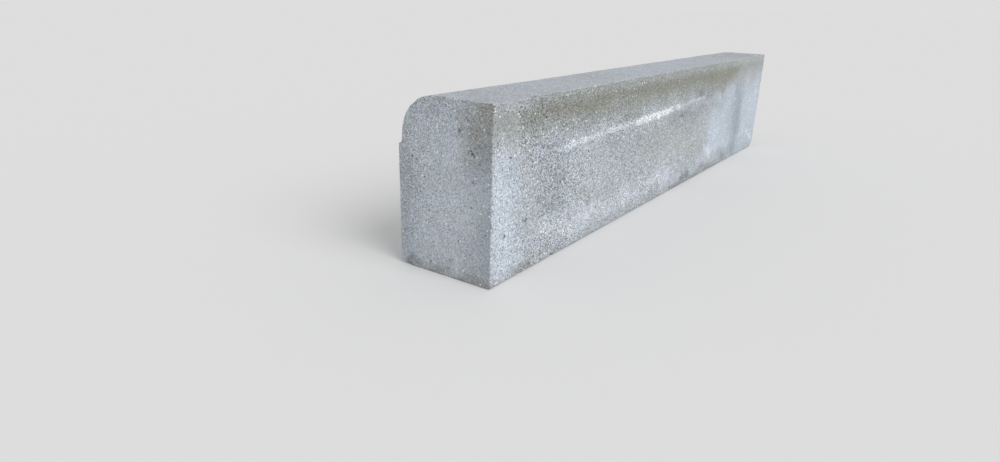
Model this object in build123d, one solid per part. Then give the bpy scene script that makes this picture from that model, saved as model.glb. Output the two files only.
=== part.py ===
from build123d import *
import os
from math import radians, tan

# Overall size of the stone, in millimetres
length = 1000.0
width = 130.0
height = 200.0

# Upright front face, formed by the mould wall, and the small ledge left at the wall's rim
wall_height = 144.5
ledge_depth = 4.5
ledge_rise = 2.5

# Head above the ledge: a leaning face that runs into the top in one round
batter_angle = 5.0
nose_radius = 45.0

# Eased arrises
foot_radius = 6.0
back_top_radius = 2.5
back_foot_radius = 3.0
end_arris = 1.5

# Largest part of a neighbouring wall that a round may take up
wall_share = 0.9


# Corners of the end outline, from the front foot upwards; local x runs to the back
def outline_corners():
    front = -width / 2
    back = width / 2
    ledge_top = wall_height + ledge_rise
    head_rise = height - ledge_top
    nose = front + ledge_depth + head_rise * tan(radians(batter_angle))
    return {
        "front_foot": (front, 0),
        "wall_rim": (front, wall_height),
        "ledge_top": (front + ledge_depth, ledge_top),
        "nose": (nose, height),
        "back_top": (back, height),
        "back_foot": (back, 0),
    }


# Radius of the nose, limited by the leaning face that it starts on
def nose_limit(corners):
    head_rise = corners["nose"][1] - corners["ledge_top"][1]
    half_turn = radians((90 - batter_angle) / 2)
    return min(nose_radius, wall_share * head_rise / tan(half_turn))


# End outline as a face, with each round set at its named corner
def end_outline():
    corners = outline_corners()
    outline = make_face(Polyline(*corners.values(), close=True))
    rounds = {
        "front_foot": foot_radius,
        "nose": nose_limit(corners),
        "back_top": back_top_radius,
        "back_foot": back_foot_radius,
    }
    for name, radius in rounds.items():
        corner = outline.vertices().sort_by_distance(Vector(*corners[name]))[0]
        outline = fillet(corner, radius)
    return outline


# The stone: the outline run along its length, its two end outlines eased
def kerb_stone():
    section = Plane.YZ.offset(-length / 2) * end_outline()
    stone = extrude(section, amount=length)
    end_faces = stone.faces().filter_by(Axis.X, tolerance=1)
    end_edges = [edge for face in end_faces for edge in face.edges()]
    return chamfer(end_edges, end_arris)


def main():
    os.makedirs("parts", exist_ok=True)
    stone = kerb_stone()
    stone.label = "kerb_stone"
    export_step(stone, "parts/kerb_stone.step")


main()
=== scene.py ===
import random
from math import cos, radians, sin, tan

import bmesh
import bpy
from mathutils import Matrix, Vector, noise
from mathutils.kdtree import KDTree


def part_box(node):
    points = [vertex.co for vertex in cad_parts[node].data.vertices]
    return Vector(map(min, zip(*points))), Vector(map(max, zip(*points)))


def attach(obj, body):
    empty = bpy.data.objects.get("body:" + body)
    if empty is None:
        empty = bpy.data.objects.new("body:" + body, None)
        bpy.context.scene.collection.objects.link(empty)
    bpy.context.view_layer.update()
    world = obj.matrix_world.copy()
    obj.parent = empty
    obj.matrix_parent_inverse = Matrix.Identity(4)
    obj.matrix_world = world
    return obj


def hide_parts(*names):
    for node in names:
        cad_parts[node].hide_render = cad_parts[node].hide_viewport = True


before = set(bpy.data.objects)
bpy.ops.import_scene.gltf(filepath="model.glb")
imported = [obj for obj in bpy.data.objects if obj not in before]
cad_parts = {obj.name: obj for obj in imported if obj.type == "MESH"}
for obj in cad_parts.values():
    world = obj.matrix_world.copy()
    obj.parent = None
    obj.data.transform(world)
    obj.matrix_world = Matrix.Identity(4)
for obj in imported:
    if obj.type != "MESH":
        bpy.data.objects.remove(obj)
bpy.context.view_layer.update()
mm = 0.001

# Outline of the stone as it was pressed, in millimetres
stone = {
    "wallHeight": 144.5,  # upright front, up to the rim of the mould wall
    "ledgeDepth": 4.5,
    "ledgeRise": 2.5,
    "lean": 5.0,  # degrees, of the face above the ledge
    "noseRadius": 45.0,
    "noseSteps": 16,
    "footRadius": 6.0,
    "footSteps": 4,
    "backTopRadius": 2.5,
    "backFootRadius": 3.0,
    "backSteps": 3,
    "endArris": 0.8,
    "endSteps": 2,
    "fineStep": 1.5,  # mesh spacing beside the arrises
    "ledgeStep": 1.2,  # in the ledge
    "noseStep": 3.0,  # below the nose
    "openStep": 4.0,  # and on the open faces
    "leastStep": 0.9,
    "topClearance": 1.2,  # no slice nearer than this to the top
    "backClearance": 1.0,
    "frontStops": (1.5, 3.2, 5),  # slices behind the front
    "endStops": (3, 5, 7.8, 11.5),  # slices beside each end
    "lengthCuts": (81, 2),  # between those, in two goes
}
closeTo = 0.1  # millimetres, for points that should meet


def openForEditing(obj):
    bpy.ops.object.select_all(action="DESELECT")
    bpy.context.view_layer.objects.active = obj
    obj.select_set(True)
    bpy.ops.object.mode_set(mode="EDIT")


def pick(obj, kind, wanted):
    bpy.ops.mesh.select_mode(type=kind)
    bpy.ops.mesh.select_all(action="DESELECT")
    mesh = bmesh.from_edit_mesh(obj.data)
    parts = {"VERT": mesh.verts, "EDGE": mesh.edges, "FACE": mesh.faces}[kind]
    for part in [part for part in parts if wanted(part)]:
        part.select_set(True)
    bmesh.update_edit_mesh(obj.data)


def slicesAt(axis, places):
    direction = Vector((0, 0, 0))
    direction[axis] = 1
    for place in places:
        bpy.ops.mesh.select_all(action="SELECT")
        bpy.ops.mesh.bisect(plane_co=direction * place * mm, plane_no=direction)


def cutPlaces(low, high, fine, coarse, growth=1.4):
    # fine steps beside both ends, growing to the even ones between
    stops, step, reach = [], fine, 0
    while step < coarse:
        reach += step
        stops.append(reach)
        step *= growth
    count = max(1, round((high - low - 2 * reach) / coarse))
    between = [low + reach + (high - low - 2 * reach) * i / count for i in range(1, count)]
    return [low + s for s in stops] + between + [high - s for s in reversed(stops)]


def spaced(places, gap):
    kept = []
    for place in sorted(places):
        if not kept or place - kept[-1] > gap:
            kept.append(place)
    return kept


lowCorner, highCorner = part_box("kerb_stone")
low, high = lowCorner / mm, highCorner / mm
ledgeTop = stone["wallHeight"] + stone["ledgeRise"]
ledgeFront = low.y + stone["ledgeDepth"]
lean = radians(stone["lean"])
noseFront = ledgeFront + (high.z - ledgeTop) * tan(lean)
noseReach = stone["noseRadius"] / tan(radians(90 + stone["lean"]) / 2)
noseCentre = Vector((0, noseFront + noseReach, high.z - stone["noseRadius"]))
nosePoints = [
    noseCentre + stone["noseRadius"] * Vector((0, -sin(turn), cos(turn)))
    for turn in [(radians(90) - lean) * i / stone["noseSteps"] for i in range(stone["noseSteps"] + 1)]
]


def castStone():
    centre, size = (highCorner + lowCorner) / 2, highCorner - lowCorner
    bpy.ops.object.select_all(action="DESELECT")
    bpy.ops.mesh.primitive_cube_add(size=1, location=centre, scale=size)
    obj = bpy.context.object
    obj.name = obj.data.name = "kerbStone"
    bpy.ops.object.transform_apply(location=True, rotation=False, scale=True)
    openForEditing(obj)

    # ledge and leaning head
    def pushFrontBack(height, way):
        pick(obj, "VERT", lambda v: v.co.y < 0 and v.co.z > (height - closeTo) * mm)
        bpy.ops.transform.translate(value=(0, way * mm, 0))

    slicesAt(2, [stone["wallHeight"], ledgeTop])
    pushFrontBack(ledgeTop, stone["ledgeDepth"])
    pushFrontBack(high.z, noseFront - ledgeFront)

    # rounds along the stone
    def bevelPicked(reach, steps):
        bpy.ops.mesh.bevel(
            offset_type="OFFSET", offset=reach * mm, segments=steps, profile=0.5, affect="EDGES"
        )

    def runsAlong(edge):
        return edge.calc_length() > (high.x - low.x) / 2 * mm

    def roundEdge(y, z, reach, steps):
        def isThere(vertex):
            return abs(vertex.co.y / mm - y) < closeTo and abs(vertex.co.z / mm - z) < closeTo
        pick(obj, "EDGE", lambda e: runsAlong(e) and all(isThere(v) for v in e.verts))
        bevelPicked(reach, steps)

    roundEdge(noseFront, high.z, noseReach, stone["noseSteps"])
    roundEdge(low.y, low.z, stone["footRadius"], stone["footSteps"])
    roundEdge(high.y, high.z, stone["backTopRadius"], stone["backSteps"])
    roundEdge(high.y, low.z, stone["backFootRadius"], stone["backSteps"])

    # eased outline of both ends
    def isEnd(face):
        return abs(face.normal.x) > 0.99
    pick(obj, "EDGE", lambda e: sorted(isEnd(f) for f in e.link_faces) == [False, True])
    bevelPicked(stone["endArris"], stone["endSteps"])

    # working mesh, finer beside the arrises; in the head it follows the points of the nose
    fine, coarse = stone["fineStep"], stone["openStep"]
    heights = cutPlaces(low.z + fine, stone["wallHeight"], fine, coarse)
    heights += [stone["wallHeight"] + stone["ledgeStep"]]
    heights += cutPlaces(ledgeTop, nosePoints[-1].z, stone["noseStep"], coarse) + [p.z for p in nosePoints]
    slicesAt(2, spaced([z for z in heights if z < high.z - stone["topClearance"]], stone["leastStep"]))
    depths = cutPlaces(nosePoints[0].y, high.y, fine, coarse) + [p.y for p in nosePoints]
    depths += [low.y + stop for stop in stone["frontStops"]]
    slicesAt(1, spaced([y for y in depths if y < high.y - stone["backClearance"]], stone["leastStep"]))
    slicesAt(0, [low.x + stop for stop in stone["endStops"]] + [high.x - stop for stop in stone["endStops"]])
    manyCuts, fewCuts = stone["lengthCuts"]
    pick(obj, "EDGE", runsAlong)
    bpy.ops.mesh.subdivide(number_cuts=manyCuts)
    piece = (high.x - low.x - 2 * stone["endStops"][-1]) / (manyCuts + 1)
    pick(obj, "EDGE", lambda e: abs(e.verts[0].co.x - e.verts[1].co.x) > (piece - closeTo) * mm)
    bpy.ops.mesh.subdivide(number_cuts=fewCuts)
    bpy.ops.object.mode_set(mode="OBJECT")
    print("stone cast:", len(obj.data.polygons), "faces")
    return obj


kerbStone = castStone()

# Wear of the arrises, in millimetres: a steady rounding, and nicks knocked out of it
wear = {
    "backTop": {"ease": 1.6, "nicks": 26, "longest": 14, "deepest": 4.5, "seed": 3},
    "backFoot": {"ease": 0.7, "nicks": 30, "longest": 16, "deepest": 5.0, "seed": 5},
    "frontFoot": {"ease": 3.0, "nicks": 22, "longest": 26, "deepest": 8.0, "seed": 8},
    "rim": {"ease": 0.3, "nicks": 44, "longest": 12, "deepest": 2.6, "seed": 11},
    "nearEnd": {"ease": 0.8, "nicks": 22, "longest": 9, "deepest": 3.6, "seed": 14},
    "farEnd": {"ease": 1.7, "nicks": 26, "longest": 12, "deepest": 4.5, "seed": 17},
}
# Corners broken off, and how far each break reaches along the stone, across it and up
brokenCorners = [
    (("far", "back", "foot"), (24, 12, 15)),
    (("near", "back", "foot"), (3.5, 3, 2.2)),
    (("near", "front", "foot"), (40, 20, 7)),
    (("far", "front", "foot"), (16, 11, 12)),
    (("far", "back", "top"), (5, 4, 5)),
    (("near", "back", "top"), (5, 5, 6)),
]
# What all the wear shares; a wave is its share of the wear, its size and its seed
wearing = {
    "sideReach": 12,  # how far in from a long arris wear is looked for
    "endReach": 8,
    "cornerReach": 40,
    "endOutline": (200, 130),  # height and width, to count the way round an end
    "shortestNick": 3,
    "easeWaves": ((0.6, 11, 1), (0.45, 3.5, 2)),
    "nickWaves": ((0.5, 3, 3),),
    "cornerWaves": ((0.3, 7, 4), (0.2, 2.5, 5)),
    "ledgeWaves": ((0.8, 18, 6), (0.5, 5, 7)),  # millimetres up and down
    "nickShows": 1.2,  # a nick this deep has the full colour of broken stone
    "cornerShows": 0.25,  # and a corner from this share of its reach
}
# Smaller faces where the near end's outline and the long back arrises are seen close up, in millimetres
closeUp = {"outline": 9, "backFrom": 330, "backReach": 8, "largestFace": 3}

# Pits: the ones that show best are placed, the others strewn over the faces
pits = {
    "back": [(398, 174, 2.0), (466, 140, 1.8), (433, 62.5, 2.8), (474, 54.5, 2.2), (454, 43, 1.6),
             (432, 24, 1.9), (261, 36, 2.0), (292, 118, 1.6), (424, 128, 1.4), (286, 50, 1.4),
             (115, 30, 2.4), (106, 28, 2.0), (100, 31, 1.6), (74, 166, 1.8), (-30, 125, 2.2),
             (215, 140, 2.0), (-204, 122, 2.0)],  # along the stone, up, radius
    "nearEnd": [(38.5, 87.7, 1.5), (39, 146, 1.7), (41, 144, 1.3), (37.5, 149, 1.1), (22, 168, 1.7),
                (20, 166, 1.1), (-19.5, 12, 1.6), (-45, 131, 1.2), (-38, 129, 1.3), (26, 170, 1.0),
                (34, 147.5, 1.0), (42.5, 151, 1.0), (45.5, 148, 0.9), (29.5, 137.5, 0.9), (43, 115, 1.0),
                (48, 155, 0.9), (-43, 138, 0.9), (-33, 94, 0.9)],  # across, up, radius
    "strewn": 56,
    "weights": {"back": 5, "front": 5, "top": 2, "near": 1, "far": 2},
    "along": (-485, 485),
    "across": (-45, 52),
    "up": (12, 185),
    "frontTo": 134,  # no higher on the front
    "topFrom": -12,  # and no further forward on the top
    "smallest": 0.9,
    "largest": 2.1,
    "depth": 0.9,  # as a share of the radius
    "waves": ((0.35, 1.6, 8),),  # share, size and seed, for a ragged rim
    "rim": 2.6,  # finer mesh this far round a pit
    "cuts": 3,
    # painted shade in the pits, darkest at their bottoms
    "darkening": 1.6,
    "seed": 21,
}


def fromFront(point):
    # depth below the front outline, and the way further in
    if point.z < stone["wallHeight"]:
        return point.y - low.y, Vector((0, 1, 0))
    inward = Vector((0, cos(lean), -sin(lean)))
    spoke = Vector((0, point.y - noseCentre.y, point.z - noseCentre.z))
    if spoke.y < 0 and spoke.z > spoke.length * sin(lean):
        return stone["noseRadius"] - spoke.length, -spoke.normalized()
    return (point - Vector((point.x, ledgeFront, ledgeTop))).dot(inward), inward


def fromLedge(point):
    inward = Vector((0, stone["ledgeRise"], -stone["ledgeDepth"])).normalized()
    return (point - Vector((point.x, low.y, stone["wallHeight"]))).dot(inward), inward


fromSide = {
    "back": lambda p: (high.y - p.y, Vector((0, -1, 0))),
    "top": lambda p: (high.z - p.z, Vector((0, 0, -1))),
    "foot": lambda p: (p.z - low.z, Vector((0, 0, 1))),
    "front": fromFront,
    "ledge": fromLedge,
    "near": lambda p: (high.x - p.x, Vector((-1, 0, 0))),
    "far": lambda p: (p.x - low.x, Vector((1, 0, 0))),
}
arrises = {
    "backTop": ("back", "top"),
    "backFoot": ("back", "foot"),
    "frontFoot": ("front", "foot"),
    "rim": ("front", "ledge"),
}


def grit(point, size, seed):
    # noise between -1 and 1; each seed reads it at another place
    return noise.noise(point / size + Vector((seed * 7.1, seed * 3.7, seed * 1.3)))


def uneven(point, waves):
    value = 1
    for share, size, seed in waves:
        value += share * grit(point, size, seed)
    return value


def knockNicks(values, length):
    # where each nick lies along its arris, half its length, and its depth: small ones are the most
    chance = random.Random(values["seed"])
    shortest = wearing["shortestNick"] / 2
    nicks = []
    for _ in range(values["nicks"]):
        size = chance.random() ** 2
        half = shortest + size * (values["longest"] / 2 - shortest)
        nicks.append((chance.uniform(0, length), half, (0.2 + 0.8 * size) * values["deepest"]))
    return nicks


def nickDepth(nicks, along):
    return max([0] + [deep * (1 - ((along - place) / half) ** 2) for place, half, deep in nicks])


def roundTheEnd(point):
    # nearest long side of a point on an end, and how far round the outline it lies
    tall, wide = wearing["endOutline"]
    depths = {side: fromSide[side](point) for side in ("back", "top", "front", "foot")}
    side = min(depths, key=lambda name: depths[name][0])
    around = {
        "back": point.z,
        "top": tall + high.y - point.y,
        "front": 2 * tall + wide - point.z,
        "foot": 2 * tall + wide + point.y - low.y,
    }
    return depths[side], around[side]


def wearArris(point, first, second, values, nicks, along):
    # a noisy slope across the arris: whatever stands proud of it is pushed back onto it
    depth = first[0] + second[0]
    ease = values["ease"] * uneven(point, wearing["easeWaves"])
    nick = nickDepth(nicks, along) * uneven(point, wearing["nickWaves"])
    excess = max(ease, nick) - depth
    if excess <= 0:
        return 0
    point += (first[1] + second[1]) * excess / 2
    return min(1, max(0, nick - depth) / wearing["nickShows"])


def breakCorner(point, sideNames, reaches):
    sides = [fromSide[name](point) for name in sideNames]
    slope = Vector([1 / reach for reach in reaches])
    share = sum(side[0] / reach for side, reach in zip(sides, reaches))
    edge = uneven(point, wearing["cornerWaves"])
    if share >= edge:
        return 0
    push = (edge - share) / slope.length_squared
    for side, part in zip(sides, slope):
        point += side[1] * part * push
    return min(1, (edge - share) / wearing["cornerShows"])


def refineNearArrises():
    def isCloseUp(face):
        p = face.calc_center_median() / mm
        inward = min(high.z - p.z, p.z, high.y - p.y, fromFront(p)[0])
        onOutline = max(high.x - p.x, inward) < closeUp["outline"]
        onArris = max(high.y - p.y, min(p.z, high.z - p.z)) < closeUp["backReach"]
        alongBack = p.x > closeUp["backFrom"] and onArris
        return (onOutline or alongBack) and face.calc_area() > closeUp["largestFace"] * mm * mm
    openForEditing(kerbStone)
    pick(kerbStone, "FACE", isCloseUp)
    bpy.ops.mesh.subdivide(number_cuts=1)
    bpy.ops.object.mode_set(mode="OBJECT")


def wearStone():
    wayRound = 2 * sum(wearing["endOutline"])
    nicks = {
        name: knockNicks(values, high.x - low.x if name in arrises else wayRound)
        for name, values in wear.items()
    }
    broken = []
    for vertex in kerbStone.data.vertices:
        point = vertex.co / mm
        worn = 0
        for name, (first, second) in arrises.items():
            one, two = fromSide[first](point), fromSide[second](point)
            if one[0] + two[0] < wearing["sideReach"] and min(one[0], two[0]) > -1:
                worn = max(worn, wearArris(point, one, two, wear[name], nicks[name], point.x - low.x))
        for name, end in (("nearEnd", "near"), ("farEnd", "far")):
            one = fromSide[end](point)
            if one[0] < wearing["endReach"]:
                two, along = roundTheEnd(point)
                if one[0] + two[0] < wearing["endReach"]:
                    worn = max(worn, wearArris(point, one, two, wear[name], nicks[name], along))
        for sideNames, reaches in brokenCorners:
            if abs(fromSide[sideNames[0]](point)[0]) < wearing["cornerReach"]:
                worn = max(worn, breakCorner(point, sideNames, reaches))
        if abs(point.z - ledgeTop) < stone["ledgeRise"] and point.y < ledgeFront + 1:
            onLine = Vector((point.x, 0, 0))
            point.z += sum(depth * grit(onLine, size, seed) for depth, size, seed in wearing["ledgeWaves"])
        vertex.co = point * mm
        broken.append(worn)
    kerbStone.data.attributes.new("broken", "FLOAT", "POINT").data.foreach_set("value", broken)
    print("arrises worn:", sum(1 for worn in broken if worn > 0.2), "points on broken edges")


refineNearArrises()
wearStone()


def pitPlaces():
    # centre, way in and radius of every pit
    into = {name: fromSide[name](Vector((0, 0, 0)))[1] for name in ("back", "top", "near", "far")}
    places = [(Vector((x, high.y, z)), into["back"], radius) for x, z, radius in pits["back"]]
    places += [(Vector((high.x, y, z)), into["near"], radius) for y, z, radius in pits["nearEnd"]]
    chance = random.Random(pits["seed"])
    for _ in range(pits["strewn"]):
        side = chance.choices(list(pits["weights"]), weights=list(pits["weights"].values()))[0]
        along, across, up = [chance.uniform(*pits[way]) for way in ("along", "across", "up")]
        radius = pits["smallest"] + (pits["largest"] - pits["smallest"]) * chance.random() ** 2
        if side == "back":
            place = (Vector((along, high.y, up)), into["back"])
        elif side == "front":
            place = (Vector((along, low.y, min(up, pits["frontTo"]))), Vector((0, 1, 0)))
        elif side == "top":
            place = (Vector((along, max(across, pits["topFrom"]), high.z)), into["top"])
        else:
            place = (Vector((high.x if side == "near" else low.x, across, up)), into[side])
        places.append(place + (radius,))
    return places


def sinkPits():
    places = pitPlaces()
    nearest = KDTree(len(places))
    for i, place in enumerate(places):
        nearest.insert(place[0], i)
    nearest.balance()

    def isUnderPit(face):
        _, i, away = nearest.find(face.calc_center_median() / mm)
        return away < places[i][2] + pits["rim"]
    openForEditing(kerbStone)
    pick(kerbStone, "FACE", isUnderPit)
    bpy.ops.mesh.subdivide(number_cuts=pits["cuts"])
    bpy.ops.object.mode_set(mode="OBJECT")
    hollowShade = []
    for vertex in kerbStone.data.vertices:
        point = vertex.co / mm
        _, i, away = nearest.find(point)
        _, inward, radius = places[i]
        share = away / (radius * uneven(point, pits["waves"]))
        deep = max(0, 1 - share * share)
        vertex.co += inward * deep * radius * pits["depth"] * mm
        # painted shade, darkest at the bottom of each pit
        hollowShade.append(min(1, deep * pits["darkening"]))
    kerbStone.data.attributes.new("hollowShade", "FLOAT", "POINT").data.foreach_set("value", hollowShade)
    print("pits sunk:", len(places))


sinkPits()

# Unevenness of the cast faces: size of the swells and their depth, in millimetres
unevenness = {
    "swell": {"size": 150, "depth": 0.8},
    "ripple": {"size": 26, "depth": 0.4},
    "sand": {"size": 6, "depth": 0.25},
}
outwardShare = 0.3  # of each depth, before the box cuts it off
smoothAngle = 50


def roughenFaces():
    bpy.ops.object.select_all(action="DESELECT")
    bpy.context.view_layer.objects.active = kerbStone
    kerbStone.select_set(True)
    for name, values in unevenness.items():
        swells = bpy.data.textures.new(name, type="CLOUDS")
        swells.noise_scale = values["size"] * mm
        push = kerbStone.modifiers.new(name, "DISPLACE")
        push.texture = swells
        push.texture_coords = "LOCAL"
        push.mid_level = 1 - outwardShare
        push.strength = values["depth"] * mm
        bpy.ops.object.modifier_apply(modifier=name)
    for vertex in kerbStone.data.vertices:  # nothing stands proud of the mould
        limits = zip(vertex.co, lowCorner, highCorner)
        vertex.co = [min(max(part, least), most) for part, least, most in limits]
    bpy.ops.object.shade_smooth_by_angle(angle=radians(smoothAngle))
    print("faces roughened:", len(kerbStone.data.polygons), "faces")


roughenFaces()

# Colours of the concrete, as they are seen in plain light
concrete = {
    "body": (178, 187, 197),
    "warm": (174, 177, 174),
    "cool": (184, 194, 208),
    "lilac": (184, 184, 199),
    "greenish": (173, 183, 180),
    # painted shade in pits and pores
    "pitShade": (60, 64, 68),
    "broken": (163, 162, 157),
    "footDarkening": (112, 113, 108),
    # tone of the band towards the top: partly dirt, partly painted shade
    "topDirtAndShade": (134, 136, 123),
    "scuff": (224, 231, 240),
    "saturation": 0.84,
    "openRoughness": 0.92,
    "skinRoughness": 0.82,
    "specular": 0.35,
}
# Clouds that the tones follow, from broad ones down to sand: size in millimetres
clouds = {
    "broad": {"size": 210, "detail": 2, "rough": 0.5},
    "patch": {"size": 48, "detail": 3, "rough": 0.5},
    "mottle": {"size": 13, "detail": 3, "rough": 0.6},
    "sand": {"size": 2.6, "detail": 2, "rough": 0.7},
    "crumb": {"size": 4.5, "detail": 4, "rough": 0.65},
}
# Tints over the body: tone, the cloud and its channel, from and to in it, and strength
tints = [
    ("cool", "broad", 0, 0.42, 0.62, 0.40),
    ("warm", "broad", 2, 0.48, 0.66, 0.35),
    ("lilac", "patch", 1, 0.48, 0.62, 0.55),
    ("greenish", "mottle", 1, 0.46, 0.62, 0.45),
]
# Cement skin that closes the face: from and to in the broad cloud, and in millimetres along the back
skinValues = {
    "cloud": (0.40, 0.62),
    "nearEnd": (440, 465),
    "farEnd": (-150, -200),
    "hides": 0.32,  # of the sand
    "stripHides": 0.2,  # and more of it at the ends of the back
}
# Dirt, painted shade and scuffs: from and to, in millimetres up or along, and the strength at each
dirtAndShade = {
    # the band towards the top is partly dirt and partly painted shade, as cast by a board lying over the
    # stone
    "top": (143, 180, 0, 1),
    "topFarEnd": (-340, -240, 0.50, 0.92),
    "topNearEnd": (400, 460, 1, 0.6),
    "topEdge": (180, 196, 1, 0.6),
    "topOnFront": 0.4,
    # darker towards the foot
    "foot": (22, 0, 0, 0.16),
    "scuff": (112, 136, 0, 0.7),  # on the front, up to the ledge
    "scuffEnd": (144, 140, 0, 1),
    "hidesSand": 0.3,
    "hidesGrains": 0.5,
}
# Light and shade of the sand
sandValues = {
    "cloud": 0.2,  # contrast of its cloud
    "cells": ((0.9, 0.95), (1.4, 0.30)),  # size and contrast of its grains
    "coarser": (-140, 60, 0.25, 0.95),  # from and to in millimetres along the back, and how much more at each
    "mottling": 0.18,  # contrast of the larger clouds
}
# Grains of the mix: tone, cell size, share of the cells, reach in a cell, strength, shift of the pattern,
# and whether the band of dirt and painted shade at the top covers them
grains = {
    "pale": ((238, 240, 240), 1.5, 0.10, 0.48, 0.55, (0, 0, 0), True),
    "dark": ((92, 99, 107), 1.5, 0.10, 0.48, 0.50, (31, 17, 7), False),
    "bigPale": ((238, 240, 240), 3.6, 0.10, 0.36, 0.32, (11, 47, 23), True),
    "warm": ((172, 158, 136), 2.4, 0.16, 0.40, 0.28, (67, 41, 5), False),
    "paleSpeck": ((244, 246, 246), 4.2, 0.13, 0.33, 0.85, (3, 61, 29), True),
    "darkSpeck": ((78, 84, 92), 3.4, 0.13, 0.33, 0.66, (53, 13, 37), False),
}
pores = {"size": 5.2, "share": 0.05, "reach": 0.22, "shift": (5, 9, 71)}
# the colour of pits and pores is painted shade
damageAndPitShade = {"broken": 0.45, "hollowShade": 0.75, "pores": 0.75}  # strength of each one's colour
# Height of each part of the relief, in millimetres
relief = {"sand": 0.4, "mottle": 0.5, "grains": 0.10, "pores": -0.7, "crumbs": 2.0, "depth": 1.0}
markTones = {
    "chalk": (242, 246, 251),
    "white": (224, 231, 240),
    "bloom": (206, 213, 224),
    "sky": (194, 206, 220),
    "haze": (184, 198, 212),
    "slate": (149, 160, 172),
    "dull": (146, 151, 153),
    "sand": (180, 184, 178),
    "earth": (138, 128, 108),
    "olive": (132, 134, 110),
    "rust": (176, 132, 88),
    "soot": (96, 102, 108),
    "footGrey": (118, 121, 120),
    "brownGrey": (150, 150, 142),
}
# Marks on the back face: tone, from (along, up) to (along, up), half width, softness, strength
backMarks = [
    ("white", (392, 133), (352, 133.5), 3.2, 0.9, 0.50),
    ("white", (356, 133.5), (336, 134.5), 5.4, 0.8, 0.65),
    ("white", (334, 134.5), (302, 134), 4.6, 0.8, 0.90),
    ("white", (302, 134.5), (200, 138), 4.6, 0.9, 0.70),
    ("white", (205, 138), (146, 137.5), 4.6, 0.9, 0.68),
    ("chalk", (150, 137), (60, 138), 6.4, 0.7, 0.92),
    ("chalk", (70, 138), (-12, 141), 5.6, 0.7, 0.92),
    ("white", (-14, 141), (-88, 143), 4.2, 0.9, 0.36),
    ("white", (-88, 144), (-130, 144), 2.8, 0.7, 0.90),
    ("sky", (476, 118), (476, 26), 34, 0.8, 0.85),
    ("haze", (-255, 76), (-440, 76), 74, 0.35, 0.85),
    ("dull", (0, 126), (-140, 124), 16, 0.9, 0.60),
    ("dull", (-80, 156), (-165, 156), 16, 0.9, 0.85),
    ("dull", (-170, 158), (-240, 158), 16, 0.9, 0.70),
    ("dull", (-172, 124), (-240, 124), 26, 1.0, 0.40),
    ("dull", (15, 118), (-90, 104), 28, 1.0, 0.35),
    ("dull", (320, 156), (-60, 156), 15, 1.0, 0.50),
    ("dull", (190, 104), (-60, 102), 36, 1.0, 0.25),
    ("slate", (381, 112), (381, 72), 46, 0.9, 0.55),
    ("sand", (100, 92), (-130, 68), 42, 0.9, 0.40),
    ("bloom", (291, 29), (287, 22), 10, 0.8, 0.50),
    ("bloom", (222, 31), (211, 25), 11, 0.8, 0.65),
    ("bloom", (190, 26), (175, 20), 10, 0.8, 0.55),
    ("bloom", (400, 33), (20, 31), 18, 1.0, 0.75),
    ("sky", (-205, 70), (-225, 60), 30, 0.8, 0.50),
    ("white", (-165, 45), (-203, 32), 12, 0.9, 0.60),
    ("dull", (-262, 138), (-440, 138), 20, 1.0, 0.25),
    ("slate", (-304, 114), (-306, 66), 26, 1.0, 0.32),
    ("sand", (312, 118), (312, 62), 12, 1.0, 0.50),
    ("slate", (-340, 138), (-351, 120), 32, 0.9, 0.70),
    ("slate", (-335, 107), (-342, 95), 32, 0.9, 0.75),
    ("slate", (-352, 80), (-362, 62), 32, 0.9, 0.80),
    ("slate", (-352, 50), (-346, 22), 32, 0.9, 0.80),
    ("white", (-436, 43), (-480, 22), 5, 0.9, 0.60),
    ("earth", (-215, 20), (-340, 18), 12, 1.0, 0.22),
    # darker olive band along the top of the far part of the back
    ("olive", (-245, 187), (-330, 187), 9, 0.9, 0.60),
    ("rust", (-186, 183), (-191, 183), 5, 0.9, 0.55),
    ("bloom", (-172, 163), (-178, 161), 5, 0.9, 0.50),
    ("soot", (-28, 125), (-33, 124), 5, 0.9, 0.45),
    ("soot", (-108, 153), (-114, 152.5), 6, 0.9, 0.40),
    # darker towards the foot of the back
    ("footGrey", (-10, 5), (-322, 5), 12, 0.9, 0.55),
    ("footGrey", (-10, 5), (-90, 5), 12, 0.9, 0.30),
    ("footGrey", (-255, 19), (-458, 16), 16, 0.9, 0.20),
    ("earth", (452, 7), (420, 6), 7, 0.9, 0.35),
    ("earth", (499, 4), (484, 3), 6, 0.9, 0.40),
    ("soot", (497, 1), (478, 0), 2.2, 0.9, 0.55),
    ("white", (494, 5), (487, 4.5), 2, 0.9, 0.60),
]
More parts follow.
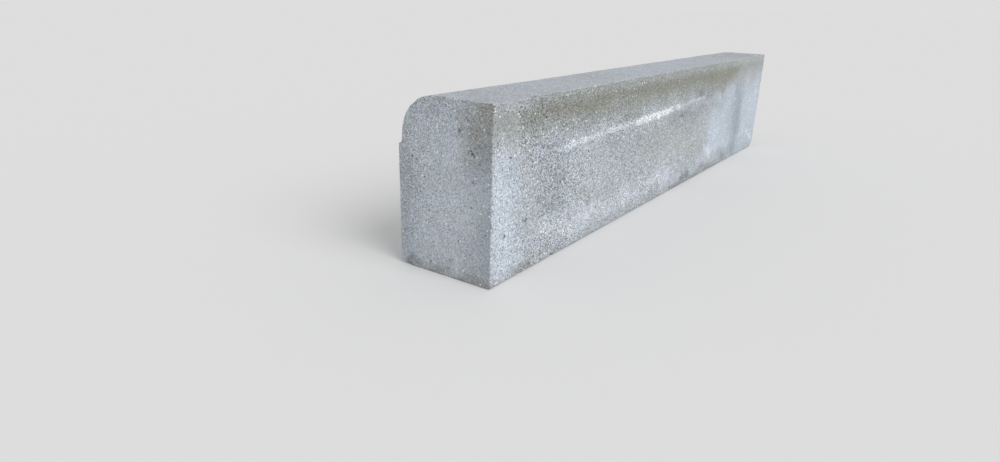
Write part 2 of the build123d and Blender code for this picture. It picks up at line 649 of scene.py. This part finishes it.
# and on the near end: tone, from (across, up) to (across, up), half width, softness, strength
endMarks = [
    # the broad sky-blue tint over most of the near end is painted shade: the bluer cast of the shaded end
    # face
    ("sky", (2, 140), (2, 50), 62, 0.7, 0.45),
    ("soot", (-48, 14), (-46, 12), 9, 0.9, 0.60),
    ("soot", (-39, 8), (-36, 7), 6, 0.9, 0.45),
    ("soot", (-8, 6), (-5, 6), 6, 0.9, 0.40),
    ("soot", (4, 9), (6, 10), 5, 0.9, 0.35),
    ("soot", (8, 21), (10, 20), 5, 0.9, 0.35),
    ("sand", (-14, 17), (8, 16), 10, 0.8, 0.40),
    ("earth", (34, 8), (40, 8), 6, 0.9, 0.40),
    ("earth", (46, 5), (62, 5), 7, 0.9, 0.45),
    ("soot", (59, 5), (61, 4), 2.6, 0.9, 0.70),
    ("soot", (24.5, 83), (26.5, 83), 2.2, 0.9, 0.50),
    ("soot", (-16, 73), (-6, 74), 1.5, 0.9, 0.35),
    ("soot", (8, 57), (13, 55), 1.5, 0.9, 0.35),
    ("soot", (-25, 60), (-23, 60), 2, 0.9, 0.35),
    ("soot", (-45, 131), (-44, 131), 2, 0.9, 0.50),
    ("soot", (-38, 129), (-37, 129), 2, 0.9, 0.45),
    ("slate", (-60, 130), (-60, 30), 18, 1.0, 0.45),
    ("slate", (62, 150), (62, 10), 30, 1.0, 0.60),
    # partly dirt and partly painted shade, as cast by a board lying over the end's top corner
    ("brownGrey", (62, 190), (48, 160), 34, 1.0, 0.85),
    ("slate", (58, 140), (50, 126), 26, 1.0, 0.45),
    # darker towards the foot of the end
    ("brownGrey", (-60, 4), (60, 4), 12, 1.0, 0.45),
]


# How the marks are laid: how far the clouds shift their edges, up to which half width the small one does it,
# how much wider that makes them, and how dry patches thin them
laying = {"smallStray": 6, "largeStray": 50, "smallUpTo": 8, "wider": 1.25, "dry": (0.30, 0.62, 0.75, 1.0)}
faceTurn = (0.5, 0.8)  # how squarely a face looks out before it counts as one side


def tone(colour):
    # written tone to the linear colour that a node takes
    return [((part / 255 + 0.055) / 1.055) ** 2.4 for part in colour] + [1]


def addNode(tree, kind, inputs=(), **settings):
    made = tree.nodes.new("ShaderNode" + kind)
    for name, value in settings.items():
        setattr(made, name, value)
    for name, value in dict(inputs).items():
        if isinstance(value, bpy.types.NodeSocket):
            tree.links.new(value, made.inputs[name])
        else:
            made.inputs[name].default_value = value
    return made


def calc(tree, how, *terms):
    return addNode(tree, "Math", enumerate(terms), operation=how).outputs[0]


def times(tree, first, *others):
    for other in others:
        first = calc(tree, "MULTIPLY", first, other)
    return first


def lessened(tree, value, share, amount):
    # value, less this amount of it where the share is 1
    return times(tree, value, calc(tree, "MULTIPLY_ADD", share, -amount, 1.0))


def vectors(tree, how, *terms):
    return addNode(tree, "VectorMath", enumerate(terms), operation=how)


def moved(tree, vector, by):
    return vectors(tree, "ADD", vector, by).outputs[0]


def scaled(tree, vector, factor):
    return addNode(tree, "VectorMath", {0: vector, "Scale": factor}, operation="SCALE").outputs[0]


def fade(tree, value, start, stop, least=0.0, most=1.0):
    inputs = {"Value": value, "From Min": start, "From Max": stop, "To Min": least, "To Max": most}
    return addNode(tree, "MapRange", inputs, interpolation_type="SMOOTHSTEP", clamp=False).outputs[0]


def mixTone(tree, share, below, above):
    return addNode(tree, "Mix", {0: share, 6: below, 7: above}, data_type="RGBA").outputs[2]


def lotOf(tree, cells):
    # one random number for each cell
    return addNode(tree, "TexWhiteNoise", {"Vector": cells.outputs["Position"]}).outputs["Value"]


def cloud(tree, place, size, detail, rough):
    inputs = {"Vector": place, "Scale": 1 / size, "Detail": detail, "Roughness": rough}
    return addNode(tree, "TexNoise", inputs)


def makeSmear():
    # soft smear from one point to another: 1 on its line, 0 past its half width
    group = bpy.data.node_groups.new("smear", "ShaderNodeTree")
    sockets = {"Place": "Vector", "Start": "Vector", "Stop": "Vector", "Width": "Float", "Softness": "Float"}
    for name, kind in sockets.items():
        group.interface.new_socket(name, in_out="INPUT", socket_type="NodeSocket" + kind)
    group.interface.new_socket("Mask", in_out="OUTPUT", socket_type="NodeSocketFloat")
    given = group.nodes.new("NodeGroupInput").outputs
    run = vectors(group, "SUBTRACT", given["Stop"], given["Start"]).outputs[0]
    fromStart = vectors(group, "SUBTRACT", given["Place"], given["Start"]).outputs[0]
    dotRun = vectors(group, "DOT_PRODUCT", fromStart, run).outputs["Value"]
    dotSelf = vectors(group, "DOT_PRODUCT", run, run).outputs["Value"]
    along = addNode(group, "Clamp", {"Value": calc(group, "DIVIDE", dotRun, dotSelf)}).outputs[0]
    away = vectors(group, "DISTANCE", fromStart, scaled(group, run, along)).outputs["Value"]
    inner = times(group, given["Width"], calc(group, "SUBTRACT", 1.0, given["Softness"]))
    mask = group.nodes.new("NodeGroupOutput").inputs["Mask"]
    group.links.new(fade(group, away, given["Width"], inner), mask)
    return group


def strewnGrains(tree, place, size, share, reach, shift):
    # scattered grains: a share of the cells of this size, each filled to its reach
    cells = addNode(tree, "TexVoronoi", {"Vector": moved(tree, place, shift), "Scale": 1 / size})
    chosen = fade(tree, lotOf(tree, cells), 1 - share, 1 - share * 0.6)
    filled = fade(tree, cells.outputs["Distance"], reach, reach * 0.5)
    return times(tree, chosen, filled)


def strayed(tree, place, noise, reach):
    # the place, shifted by a cloud, so that an edge drawn there is ragged
    stray = vectors(tree, "SUBTRACT", noise.outputs["Color"], (0.5, 0.5, 0.5)).outputs[0]
    return moved(tree, place, scaled(tree, stray, reach))


def readPlaces(tree):
    # where a point lies on the stone, in millimetres, which side it is on, and the clouds there
    spot = addNode(tree, "TexCoord")
    place = scaled(tree, spot.outputs["Object"], 1 / mm)
    parts = addNode(tree, "SeparateXYZ", {0: place})
    facing = addNode(tree, "SeparateXYZ", {0: spot.outputs["Normal"]})
    at = {name: cloud(tree, place, **values) for name, values in clouds.items()}
    at.update(
        place=place,
        along=parts.outputs["X"],
        up=parts.outputs["Z"],
        onBack=fade(tree, facing.outputs["Y"], *faceTurn),
        onFront=fade(tree, facing.outputs["Y"], *(-turn for turn in faceTurn)),
        onNearEnd=fade(tree, facing.outputs["X"], *faceTurn),
        nearby=strayed(tree, place, at["mottle"], laying["smallStray"]),
        farther=strayed(tree, place, at["patch"], laying["largeStray"]),
        dry=fade(tree, at["mottle"].outputs[0], *laying["dry"]),
    )
    at["raggedUp"] = addNode(tree, "SeparateXYZ", {0: at["farther"]}).outputs["Z"]
    return at


def splitCloud(tree, cloudNode):
    return addNode(tree, "SeparateColor", {"Color": cloudNode.outputs["Color"]}).outputs


def layTints(tree, at):
    colour = tone(concrete["body"])
    for name, source, channel, start, stop, strength in tints:
        share = fade(tree, splitCloud(tree, at[source])[channel], start, stop, 0, strength)
        colour = mixTone(tree, share, colour, tone(concrete[name]))
    return colour


def closeFace(tree, at):
    # how far cement skin has closed the face, and how open the sand lies
    nearEnd = fade(tree, at["along"], *skinValues["nearEnd"])
    farEnd = fade(tree, at["along"], *skinValues["farEnd"])
    strip = times(tree, at["onBack"], calc(tree, "MAXIMUM", nearEnd, farEnd))
    patches = fade(tree, splitCloud(tree, at["broad"])[1], *skinValues["cloud"])
    skin = calc(tree, "MAXIMUM", patches, strip)
    openness = calc(tree, "MULTIPLY_ADD", skin, -skinValues["hides"], 1.0)
    return skin, lessened(tree, openness, strip, skinValues["stripHides"])


def layMarks(tree, at, colour):
    smear = makeSmear()
    sides = (
        (backMarks, at["onBack"], lambda along, up: (along, high.y, up)),
        (endMarks, at["onNearEnd"], lambda across, up: (high.x, across, up)),
    )
    for marks, onSide, onStone in sides:
        for name, start, stop, width, softness, strength in marks:
            drawn = addNode(tree, "Group", {
                "Place": at["nearby" if width < laying["smallUpTo"] else "farther"],
                "Start": onStone(*start),
                "Stop": onStone(*stop),
                "Width": width * laying["wider"],
                "Softness": softness,
            }, node_tree=smear)
            share = times(tree, drawn.outputs[0], onSide, strength, at["dry"])
            colour = mixTone(tree, share, colour, tone(markTones[name]))
    return colour


def layDirtAndShade(tree, at, colour):
    # darker towards the top on both long sides, partly dirt and partly painted shade; darker at the foot; and
    # scuffs under the ledge
    topDirtAndShade = times(
        tree,
        fade(tree, at["raggedUp"], *dirtAndShade["top"]),
        fade(tree, at["along"], *dirtAndShade["topFarEnd"]),
        fade(tree, at["up"], *dirtAndShade["topEdge"]),
        fade(tree, at["along"], *dirtAndShade["topNearEnd"]),
        calc(tree, "MULTIPLY_ADD", at["onFront"], dirtAndShade["topOnFront"], at["onBack"]),
    )
    # painted shade and dirt: the band towards the top darkens and browns the colour
    colour = mixTone(tree, topDirtAndShade, colour, tone(concrete["topDirtAndShade"]))
    colour = mixTone(tree, fade(tree, at["raggedUp"], *dirtAndShade["foot"]), colour, tone(concrete["footDarkening"]))
    scuff = fade(tree, at["raggedUp"], *dirtAndShade["scuff"])
    scuff = times(tree, scuff, fade(tree, at["up"], *dirtAndShade["scuffEnd"]), at["onFront"], at["dry"])
    return topDirtAndShade, mixTone(tree, scuff, colour, tone(concrete["scuff"]))


def laySand(tree, at, openness, coarse, colour):
    # light and shade of the sand, and the colour that it gives
    shade = times(tree, calc(tree, "SUBTRACT", at["sand"].outputs[0], 0.5), sandValues["cloud"])
    for size, contrast in sandValues["cells"]:
        cells = addNode(tree, "TexVoronoi", {"Vector": at["place"], "Scale": 1 / size})
        lot = calc(tree, "SUBTRACT", lotOf(tree, cells), 0.5)
        shade = calc(tree, "MULTIPLY_ADD", lot, times(tree, coarse, contrast), shade)
    shade = times(tree, shade, openness)
    value = calc(tree, "ADD", shade, 1.0)
    mottling = sandValues["mottling"]
    for name in ("patch", "mottle"):
        part = calc(tree, "MULTIPLY_ADD", at[name].outputs[0], mottling, 1 - mottling / 2)
        value = times(tree, value, part)
    inputs = {"Color": colour, "Value": value, "Saturation": concrete["saturation"]}
    return shade, addNode(tree, "HueSaturation", inputs).outputs[0]


def mixConcrete():
    finish = bpy.data.materials.new("pressedConcrete")
    finish.use_nodes = True
    tree = finish.node_tree
    shader = tree.nodes["Principled BSDF"]
    at = readPlaces(tree)
    skin, openness = closeFace(tree, at)
    colour = layMarks(tree, at, layTints(tree, at))
    topDirtAndShade, colour = layDirtAndShade(tree, at, colour)
    openness = lessened(tree, openness, topDirtAndShade, dirtAndShade["hidesSand"])

    # sand and grains of the mix, coarser on the back
    coarser = fade(tree, at["along"], *sandValues["coarser"])
    coarse = calc(tree, "MULTIPLY_ADD", at["onBack"], coarser, 1.0)
    clear = lessened(tree, coarse, topDirtAndShade, dirtAndShade["hidesGrains"])
    sandShade, colour = laySand(tree, at, openness, coarse, colour)
    masks = {}
    for name, (grainTone, size, share, reach, strength, shift, underDirtAndShade) in grains.items():
        masks[name] = strewnGrains(tree, at["place"], size, share, reach, shift)
        shown = times(tree, masks[name], clear if underDirtAndShade else coarse, strength)
        colour = mixTone(tree, shown, colour, tone(grainTone))

    # broken edges, and painted shade in pits and pores
    masks["pores"] = strewnGrains(tree, at["place"], **pores)
    for name in ("broken", "hollowShade"):
        masks[name] = addNode(tree, "Attribute", attribute_name=name).outputs["Fac"]
    for name, toneName in (("broken", "broken"), ("pores", "pitShade"), ("hollowShade", "pitShade")):
        colour = mixTone(tree, times(tree, masks[name], damageAndPitShade[name]), colour, tone(concrete[toneName]))
    roughness = fade(tree, skin, 0, 1, concrete["openRoughness"], concrete["skinRoughness"])
    tree.links.new(colour, shader.inputs["Base Color"])
    tree.links.new(roughness, shader.inputs["Roughness"])
    shader.inputs["Specular IOR Level"].default_value = concrete["specular"]

    # relief, in millimetres
    height = times(tree, sandShade, openness, relief["sand"])
    for part, depth in (
        (at["mottle"].outputs[0], relief["mottle"]),
        (masks["pale"], relief["grains"]),
        (masks["pores"], relief["pores"]),
        (times(tree, at["crumb"].outputs[0], masks["broken"]), relief["crumbs"]),
    ):
        height = calc(tree, "MULTIPLY_ADD", part, depth, height)
    bump = addNode(tree, "Bump", {"Height": height, "Strength": 1.0, "Distance": relief["depth"] * mm})
    tree.links.new(bump.outputs[0], shader.inputs["Normal"])
    print("concrete mixed:", len(tree.nodes), "nodes")
    return finish


kerbStone.data.materials.append(mixConcrete())

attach(kerbStone, "root")
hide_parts("kerb_stone")

# Camera at the photograph's place
view = {
    "place": (1.01749, 0.43917, 0.29511),
    "turn": (70.459, -1.431, 125.527),  # degrees
    "lens": 23.369,
    "sensor": 36,
    "sight": 200,
}


def placeCamera():
    bpy.ops.object.camera_add(location=view["place"], rotation=[radians(turn) for turn in view["turn"]])
    camera = bpy.context.object
    camera.data.sensor_width = view["sensor"]
    camera.data.lens = view["lens"]
    camera.data.clip_end = view["sight"]
    bpy.context.scene.camera = camera


placeCamera()

studio = {
    "floorSize": 80,
    "floorTone": 0.80,
    "worldStrength": 0.58,
    "backdrop": 0.73,  # what the camera sees past the floor
    "keyFrom": (0.14, 0.76, 0.63),  # way to the lamp
    "keySpread": 40,  # degrees, for soft shadows
    "keyPower": 1.62,
}


def lightStudio():
    bpy.ops.object.select_all(action="DESELECT")
    bpy.ops.mesh.primitive_plane_add(size=studio["floorSize"])
    floor = bpy.context.object
    floor.name = "floor"
    paint = bpy.data.materials.new("floorPaint")
    paint.use_nodes = True
    shader = paint.node_tree.nodes["Principled BSDF"]
    shader.inputs["Base Color"].default_value = (studio["floorTone"],) * 3 + (1,)
    shader.inputs["Roughness"].default_value = 1.0
    shader.inputs["Specular IOR Level"].default_value = 0.0
    floor.data.materials.append(paint)
    bpy.ops.object.light_add(type="SUN", location=Vector(studio["keyFrom"]) * 3)
    key = bpy.context.object
    key.data.angle = radians(studio["keySpread"])
    key.data.energy = studio["keyPower"]
    key.rotation_euler = Vector(studio["keyFrom"]).to_track_quat("Z", "Y").to_euler()
    world = bpy.data.worlds.new("studio")
    bpy.context.scene.world = world
    world.use_nodes = True
    glow = world.node_tree.nodes["Background"]
    glow.inputs["Color"].default_value = (1, 1, 1, 1)
    tree = world.node_tree
    rays = addNode(tree, "LightPath").outputs
    seen = calc(tree, "MAXIMUM", rays["Is Camera Ray"], rays["Is Glossy Ray"])
    seen = calc(tree, "MAXIMUM", seen, rays["Is Transmission Ray"])
    span = studio["backdrop"] - studio["worldStrength"]
    strength = calc(tree, "MULTIPLY_ADD", seen, span, studio["worldStrength"])
    tree.links.new(strength, glow.inputs["Strength"])
    bpy.context.scene.view_settings.view_transform = "Standard"


lightStudio()
